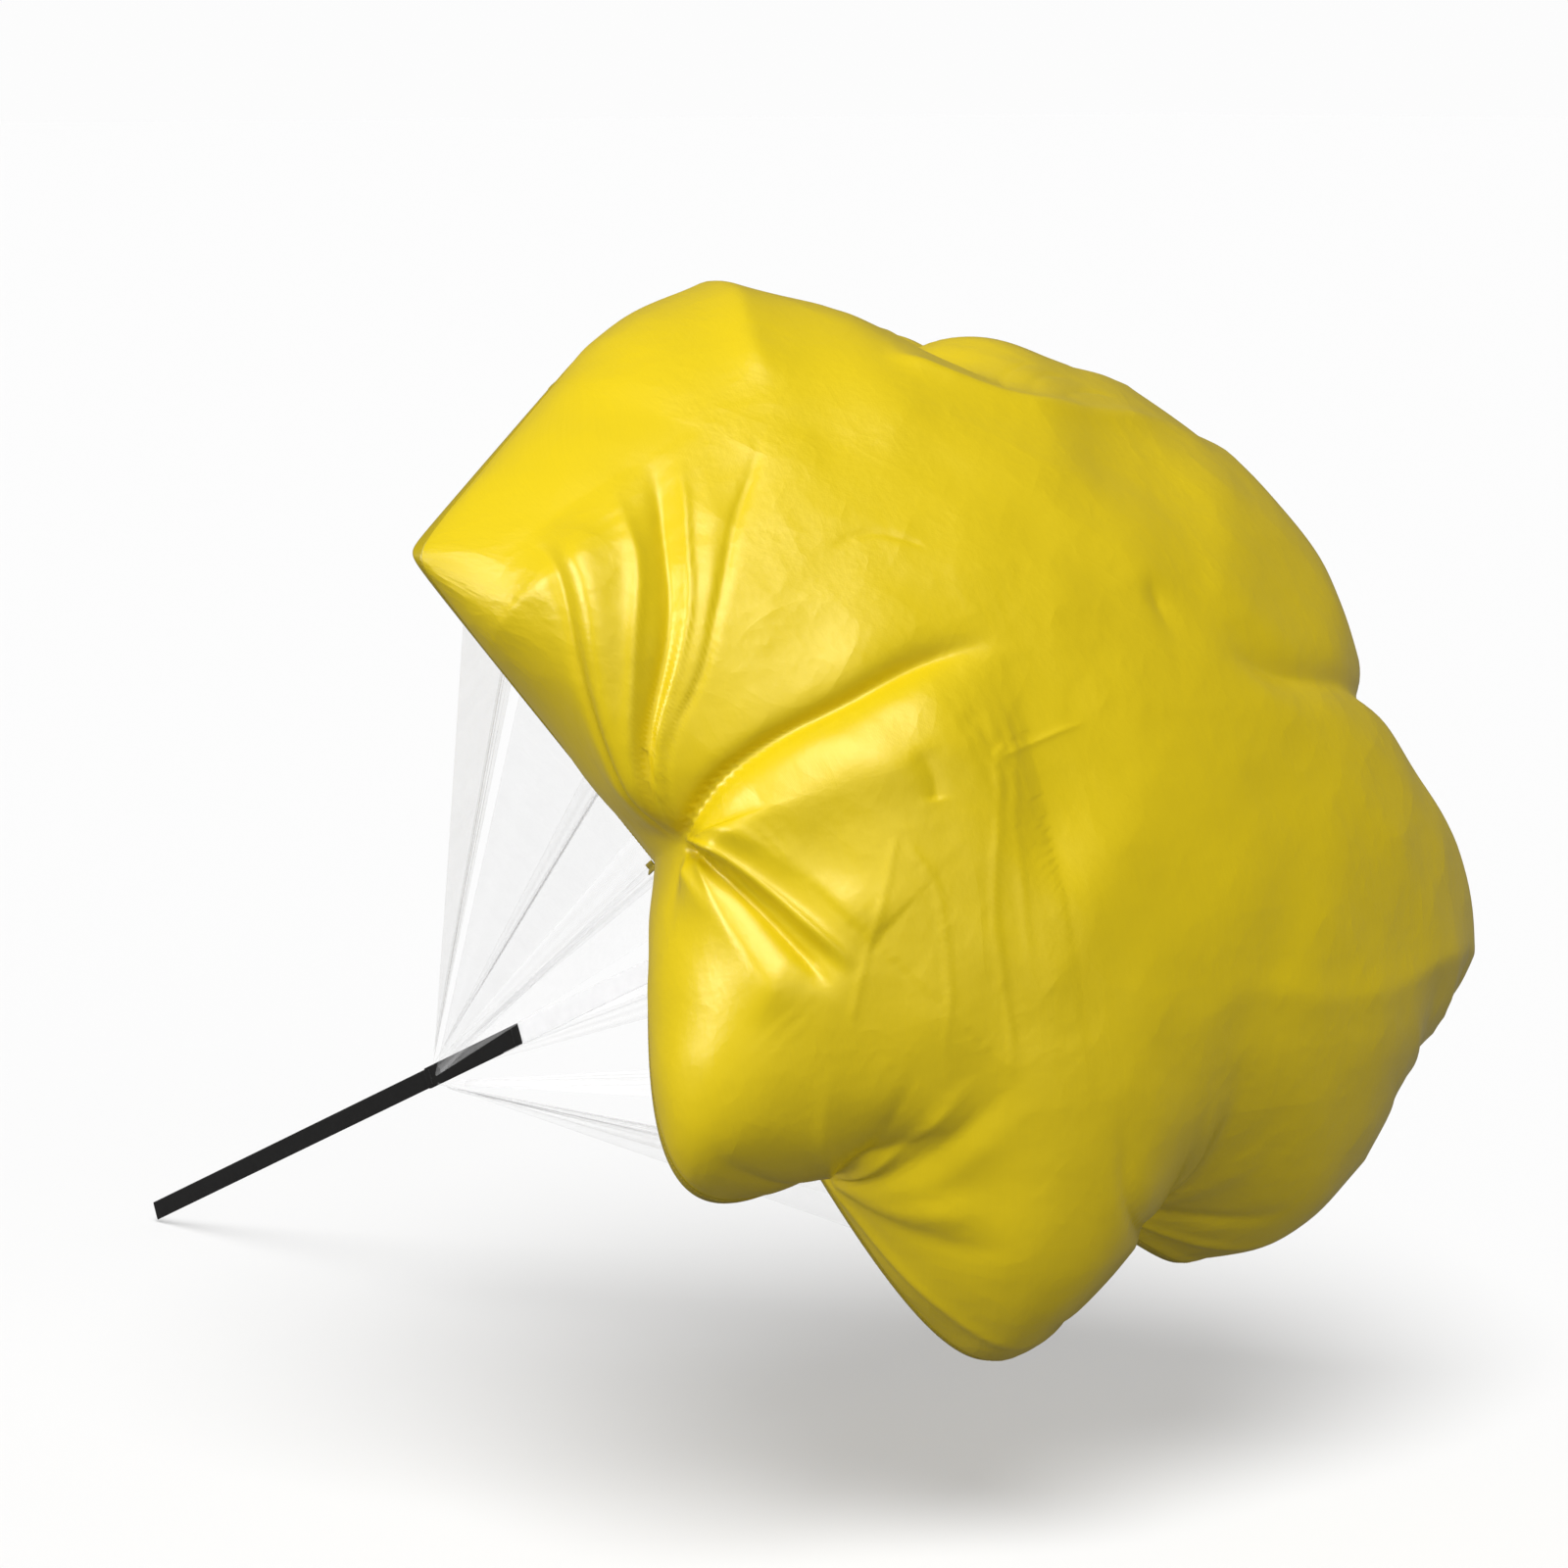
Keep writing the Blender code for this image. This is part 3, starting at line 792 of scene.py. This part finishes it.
def evenly(at, line, pitch):  # the values of at where a line of points has walked each whole pitch
    length = stepLengths(line)
    return np.interp(np.arange(pitch / 2, length[-1], pitch), length, at)


def hemStitches(finish):
    fine = np.linspace(0, canopyForm["lobes"], canopyForm["lobes"] * rimBand["fineSteps"])
    at = evenly(fine, rimFrame(fine)[0], rimBand["stitchPitch"])
    edge, run, normal = rimFrame(at)
    along = unit(np.cross(run, normal))
    lift = rimBand["thickness"] / 2
    middle = edge - canopyForm["clothWall"] / 3 * normal + rimBand["stitchRow"] * run
    centres = np.concatenate([middle + lift * normal, middle - lift * normal])
    ways = [np.concatenate([part, part]) for part in (along, normal)]
    return makeStitches("hem_stitches", centres, *ways, rimBand["stitchLength"], rimBand["stitchWidth"],
                        finish)


# Net panels: a ruled sheet from the sleeve to the hem, start + share * (base - start)

netPanels = {
    # how much of each lobe the net is sewn to from its gathers; less where the rim is drawn out to a tip
    "reach": (0.2, 0.2, 0.144, 0.144, 0.2, 0.154, 0.195, 0.132),
    "start": 0.022,
    "seatGap": 0.0008,
    "hemGap": 0.0009,
    "hemWidth": 0.012,
    "sleeveWidth": 0.027,
    "sleeveThickness": 0.0050,
    "columns": 24,
    "rows": 90,
    "rowSpacing": 1.4,  # closer rows near the sleeve
    "pleats": 0.0016,
    "pleatWaves": 7,
    "seamClear": 0.25,
    "pleatStart": 0.2,
}


def netPoints(number, across, share):
    reach = netPanels["reach"]
    at = number + across * np.where(across < 0, reach[number - 1], reach[number])
    edge, run, normal = rimFrame(at)
    below = 2 * netPanels["hemGap"] + netPanels["hemWidth"]
    base = edge + below * run - canopyForm["clothWall"] / 2 * normal
    turn = np.radians(canopyForm["firstGather"] + lobeAngle * at)
    upward, outward = np.cos(turn), np.sin(turn)
    square = np.maximum(abs(upward), abs(outward))
    halfWidth = netPanels["sleeveWidth"] / 2 + netPanels["seatGap"]
    halfDepth = netPanels["sleeveThickness"] / 2 + netPanels["seatGap"]
    seat = np.full_like(turn, hingeAt + netPanels["start"])
    start = np.stack([seat, halfWidth * upward / square, -halfDepth * outward / square], -1)
    return start + share[..., None] * (base - start)


def netNormals(grid):
    normal = gridNormals(grid, False)
    middle = normal[len(grid) // 2, grid.shape[1] // 2]
    outward = grid[len(grid) // 2, -1] * np.array([0.0, 1.0, 1.0])
    return normal * np.sign(middle @ outward)


def netPanel(number, finish):
    across = np.linspace(-1, 1, netPanels["columns"] + 1)[:, None]
    share = np.linspace(0, 1, netPanels["rows"] + 1)[None] ** netPanels["rowSpacing"]
    across, share = np.broadcast_arrays(across, share)
    grid = netPoints(number, across, share)
    normal = netNormals(grid)
    wave = np.sin(netPanels["pleatWaves"] * np.pi * across + number) * np.sin(np.pi * share) ** 0.5
    wave = wave * eased(abs(across) / netPanels["seamClear"]) * eased(share / netPanels["pleatStart"])
    grid = grid + (netPanels["pleats"] * wave)[..., None] * normal
    width = np.linalg.norm(grid[-1, -1] - grid[0, -1])
    length = stepLengths(grid)
    places = np.stack([across * width / 2 * share, length], -1)
    made = addMesh(f"net_{number + 1}", world(grid), gridFaces(*grid.shape[:2], False), places, finish)
    area = clothArea(made)
    flatLength = float(length[:, -1].max())
    return made, (float(2 * area / flatLength), flatLength), area


netTrim = {
    "table": 60,
    "columns": 5,
    "seamWidth": 0.010,
    "seamThickness": 0.0007,
    "seamLift": 0.0007,
    "seamStart": 0.03,  # shares of the way from the sleeve to the hem
    "seamEnd": 0.995,
    "seamRows": 60,
    "tackWidth": 0.016,
    "tackLength": 0.020,
    "tackThickness": 0.0016,
    "tackLift": 0.0016,
    "tackEnd": 0.997,
    "tackRows": 8,
}


# A strip that lies on a panel along its fold: places at a set distance from the fold, lifted off the net
def netStrip(name, number, shares, width, lift, thickness, finish):
    table = np.linspace(0, 1, netTrim["table"])
    steps, rows = netTrim["columns"], len(shares)
    columns = []
    for offset in np.linspace(-width / 2, width / 2, steps):
        sign = -1.0 if offset < 0 else 1.0
        base = netPoints(number, sign * table, np.ones_like(table))
        spread = np.linalg.norm(base - base[0], axis=-1)
        wanted = np.interp(abs(offset) / shares, spread, table) * sign
        columns.append(netPoints(number, wanted, shares))
    grid = np.stack(columns)
    normal = netNormals(grid)
    top, bottom = grid + (lift + thickness) * normal, grid + lift * normal
    length = stepLengths(grid)
    places = np.stack(np.broadcast_arrays(np.linspace(-width / 2, width / 2, steps)[:, None], length), -1)
    count = steps * rows
    faces = list(gridFaces(steps, rows, False))
    faces += [face[::-1] + count for face in faces]
    ring = np.concatenate([
        np.arange(rows),
        np.arange(1, steps) * rows + rows - 1,
        (steps - 1) * rows + np.arange(rows - 2, -1, -1),
        np.arange(steps - 2, 0, -1) * rows,
    ])
    following = np.roll(ring, -1)
    faces += list(np.stack([ring, following, following + count, ring + count], 1))
    points = np.concatenate([top.reshape(-1, 3), bottom.reshape(-1, 3)])
    made = addMesh(name, world(points), faces, np.concatenate([places.reshape(-1, 2)] * 2), finish)
    facesOut(made)
    return made


def makeNets(net, tape, hem):
    seamShares = np.linspace(netTrim["seamStart"], netTrim["seamEnd"], netTrim["seamRows"])
    tackShare = netTrim["tackLength"] / canopyForm["coneLength"]
    tackShares = netTrim["tackEnd"] - tackShare * np.linspace(1, 0, netTrim["tackRows"])
    for number in range(canopyForm["lobes"]):
        panel, flat, area = netPanel(number, net)
        seam = netStrip(f"net_seam_{number + 1}", number, seamShares, netTrim["seamWidth"],
                        netTrim["seamLift"], netTrim["seamThickness"], tape)
        # the gather tacks take the hem's finish, with its painted shade
        tack = netStrip(f"gather_fold_{number + 1}", number, tackShares, netTrim["tackWidth"],
                        netTrim["tackLift"], netTrim["tackThickness"], hem)
        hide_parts(f"net_panel_{number + 1}")
        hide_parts(f"seam_tape_{number + 1}")
        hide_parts(f"gather_tack_{number + 1}")
        for piece, slot in ((panel, "white_net"), (seam, "white_tape"), (tack, "yellow_hem")):
            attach(piece, "chute")
    print("nets", canopyForm["lobes"])


# Straps and tapes

towStrap = {"length": 0.700, "width": 0.025, "thickness": 0.0018, "rows": 240, "bendLength": 0.05}
sleeveWeb = {"length": 0.215, "width": 0.027, "ply": 0.0016, "slot": 0.0018, "rows": 70, "foldRows": 24}
barTacks = {"count": 4, "turns": 11, "pitch": 0.0018, "lean": 0.35, "length": 0.0048, "width": 0.0011}
centreBand = {
    "width": 0.028,
    "thickness": 0.0010,
    "tuck": 0.045,
    "rows": 320,
    "endLean": 0.012,  # times the pull line's slope; with endGap it comes off the CAD box's corner
    "endGap": 0.003,
    "sway": 0.0015,
    "swayWaves": 4.5,
    "twist": 9.0,
    "twistWaves": 1.3,
    "fadeFrom": 0.08,
    "fadeIn": 0.15,
    "fadeOut": 0.1,
}
crownDisc = {"columns": 48, "rows": 14, "reach": 0.0535, "drop": 0.0022, "thickness": 0.0008,
             "edgeDrop": 0.0006, "edgeFrom": 0.8, "edgeWidth": 0.15}


def straight(low, high, rows):
    along = np.linspace(low, high, rows)
    return np.stack([along, 0 * along, 0 * along], -1)


def makeTowStrap(finish):
    centres = straight(0.0, towStrap["length"], towStrap["rows"])
    across = np.broadcast_to([0.0, 1.0, 0.0], centres.shape)
    normals = np.broadcast_to([0.0, 0.0, -1.0], centres.shape)
    made = ribbon("tow_web", world(centres), world(across), world(normals), towStrap["width"],
                  towStrap["thickness"], finish)
    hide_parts("tow_strap")
    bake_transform(made)


# The sleeve's web goes along one face, round the fold at the strap and back along the other
def makeSleeve(finish):
    radius = (sleeveWeb["slot"] + sleeveWeb["ply"]) / 2
    end = hingeAt + sleeveWeb["length"]
    out = np.linspace(end, hingeAt, sleeveWeb["rows"])
    turn = np.radians(np.linspace(90, 270, sleeveWeb["foldRows"]))[1:-1]
    along = np.concatenate([out, hingeAt + radius * np.cos(turn), out[::-1]])
    depth = np.concatenate([0 * out + radius, radius * np.sin(turn), 0 * out - radius])
    centres = np.stack([along, 0 * along, depth], -1)
    across = np.broadcast_to([0.0, 1.0, 0.0], centres.shape)
    normals = unit(np.cross(np.gradient(centres, axis=0), across))
    made = ribbon("sleeve_web", world(centres), world(across), world(normals), sleeveWeb["width"],
                  sleeveWeb["ply"], finish)
    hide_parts("webbing_sleeve")
    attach(made, "sleeve")


def sleeveTacks(finish):  # zigzag bar tacks on both faces, where the record's four tacks lie
    zig = np.arange(barTacks["turns"]) - (barTacks["turns"] - 1) / 2
    lean = np.where(np.arange(barTacks["turns"]) % 2, barTacks["lean"], -barTacks["lean"])
    along = unit(np.stack([0 * zig + 1, lean, 0 * zig], -1))
    up = np.broadcast_to([0.0, 0.0, 1.0], along.shape)
    for index in range(barTacks["count"]):
        low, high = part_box(f"sleeve_tack_{index + 1}")
        middle = np.array((low + high) / 2)
        centre = np.array([middle @ pullAxis, middle @ riseAxis, middle @ sideAxis])
        centres = centre + np.stack([0 * zig, zig * barTacks["pitch"], 0 * zig], -1)
        tack = makeStitches(f"bar_tack_{index + 1}", centres, along, up, barTacks["length"],
                            barTacks["width"], finish)
        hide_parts(f"sleeve_tack_{index + 1}")
        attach(tack, "sleeve")


def makeCentreTape(finish):
    band = centreBand
    low = hingeAt + sleeveWeb["length"] - band["tuck"]
    boxEnd = float(np.array(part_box("centre_tape")[1]) @ pullAxis)
    high = boxEnd - band["endLean"] * abs(riseAxis[0]) - band["endGap"]
    centres = straight(low, high, band["rows"])
    share = (centres[:, 0] - low) / (high - low)
    free = eased((share - band["fadeFrom"]) / band["fadeIn"]) * eased((1 - share) / band["fadeOut"])
    lean = np.radians(band["twist"]) * np.sin(2 * np.pi * share * band["twistWaves"]) * free
    centres[:, 2] += band["sway"] * np.sin(2 * np.pi * share * band["swayWaves"]) * free
    across = np.stack([0 * share, np.cos(lean), np.sin(lean)], -1)
    normals = np.stack([0 * share, np.sin(lean), -np.cos(lean)], -1)
    made = ribbon("centre_band", world(centres), world(across), world(normals), band["width"],
                  band["thickness"], finish)
    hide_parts("centre_tape")
    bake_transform(made)


# The crown patch: a disc of cloth that follows the canopy's inside, with its edge turned under
def makeCrownPatch(finish):
    disc = crownDisc
    columns, rows = disc["columns"], disc["rows"]
    at = np.linspace(0, canopyForm["lobes"], columns, endpoint=False)[:, None]
    reach = np.linspace(0, 1, rows)[None]
    top = canopyPoints(*np.broadcast_arrays(at, disc["reach"] * reach)) - np.array([disc["drop"], 0.0, 0.0])
    under = disc["thickness"] + disc["edgeDrop"] * eased((reach - disc["edgeFrom"]) / disc["edgeWidth"])
    bottom = top - under[..., None] * np.array([1.0, 0.0, 0.0])
    rings = np.concatenate([top, bottom[:, ::-1]], 1)
    spot = stepLengths(rings)
    turn = np.linspace(0, 2 * np.pi, columns, endpoint=False)[:, None]
    places = np.stack([spot * np.cos(turn), spot * np.sin(turn)], -1)
    made = addMesh("crown_disc", world(rings), gridFaces(columns, 2 * rows, True), places, finish)
    work = bmesh.new()
    work.from_mesh(made.data)
    bmesh.ops.remove_doubles(work, verts=work.verts, dist=1e-6)
    work.to_mesh(made.data)
    work.free()
    facesOut(made)
    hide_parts("crown_patch")
    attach(made, "chute")


# Floor and light

def makeStudio():
    sky = bpy.data.worlds.new("studio")
    bpy.context.scene.world = sky
    sky.use_nodes = True
    nodes, links = sky.node_tree.nodes, sky.node_tree.links
    nodes.clear()
    kinds = ("Background", "Background", "MixShader", "LightPath", "OutputWorld")
    shown, lit, mix, path, output = (nodes.new("ShaderNode" + kind) for kind in kinds)
    shown.inputs["Strength"].default_value = studio["skyShown"]
    lit.inputs["Strength"].default_value = studio["skyStrength"]
    for source in (shown, lit):
        source.inputs["Color"].default_value = (1.0, 1.0, 1.0, 1.0)
    links.new(path.outputs["Is Camera Ray"], mix.inputs[0])
    links.new(lit.outputs[0], mix.inputs[1])
    links.new(shown.outputs[0], mix.inputs[2])
    links.new(mix.outputs[0], output.inputs[0])

    floor = Finish("floor", {"Roughness": 1.0, "Specular IOR Level": 0.0})
    ray = floor.node("LightPath", {}, {}, 0)
    floor.set({"Base Color": floor.blend(ray, studio["floorBounce"], studio["floorColour"])})
    glow = floor.node("Emission", {}, {"Strength": studio["floorGlow"]})
    surface = Value(floor, floor.shader.outputs[0])
    mixed = floor.node("MixShader", {}, {0: ray * studio["floorGlowShare"], 1: surface, 2: glow})
    floor.feed(floor.output.inputs[0], mixed)
    half = studio["floorSize"] / 2
    level = float(cadLow.z) - studio["floorDrop"]
    corners = np.array([[x * half, y * half, level] for x, y in ((-1, -1), (1, -1), (1, 1), (-1, 1))])
    plane = addMesh("floor", corners, [np.arange(4)], np.zeros((4, 2)), floor.material)
    for name in ("left", "top", "front"):
        placeSun(name, studio[name])
    bpy.context.scene.view_settings.view_transform = "Standard"


placeCamera()
makeStudio()
print("camera and studio")

cloth = yellowCloth("yellow_cloth_finish", 1.0)
# the hem's finish is the canopy cloth darkened: painted shade along the rim's edge and on the gather tacks
hemPaintedShadeCloth = yellowCloth("yellow_hem_painted_shade_finish", canopyCloth["hemPaintedShade"])
net = whiteNet("white_net_finish")
tape = whiteTape("white_tape_finish", tapeCloth["cover"])
seamTape = whiteTape("white_seam_finish", tapeCloth["seamCover"])
webbing = blackWebbing("black_webbing_finish")
blackThread = thread("black_thread_finish", sewing["black"])
yellowThread = thread("yellow_thread_finish", sewing["yellow"])
print("finishes")

makeTowStrap(webbing)
makeSleeve(webbing)
sleeveTacks(blackThread)
makeCentreTape(tape)
makeCrownPatch(tape)
print("straps and tapes")

hem = makeHem(hemPaintedShadeCloth)
stitches = hemStitches(yellowThread)
canopy = makeCanopy(cloth)
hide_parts("canopy")
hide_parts("rim_hem")
for piece, slot in ((canopy, "yellow_cloth"), (hem, "yellow_hem"), (stitches, "yellow_hem")):
    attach(piece, "chute")
clothArea(canopy) * 0.99
makeNets(net, seamTape, hemPaintedShadeCloth)
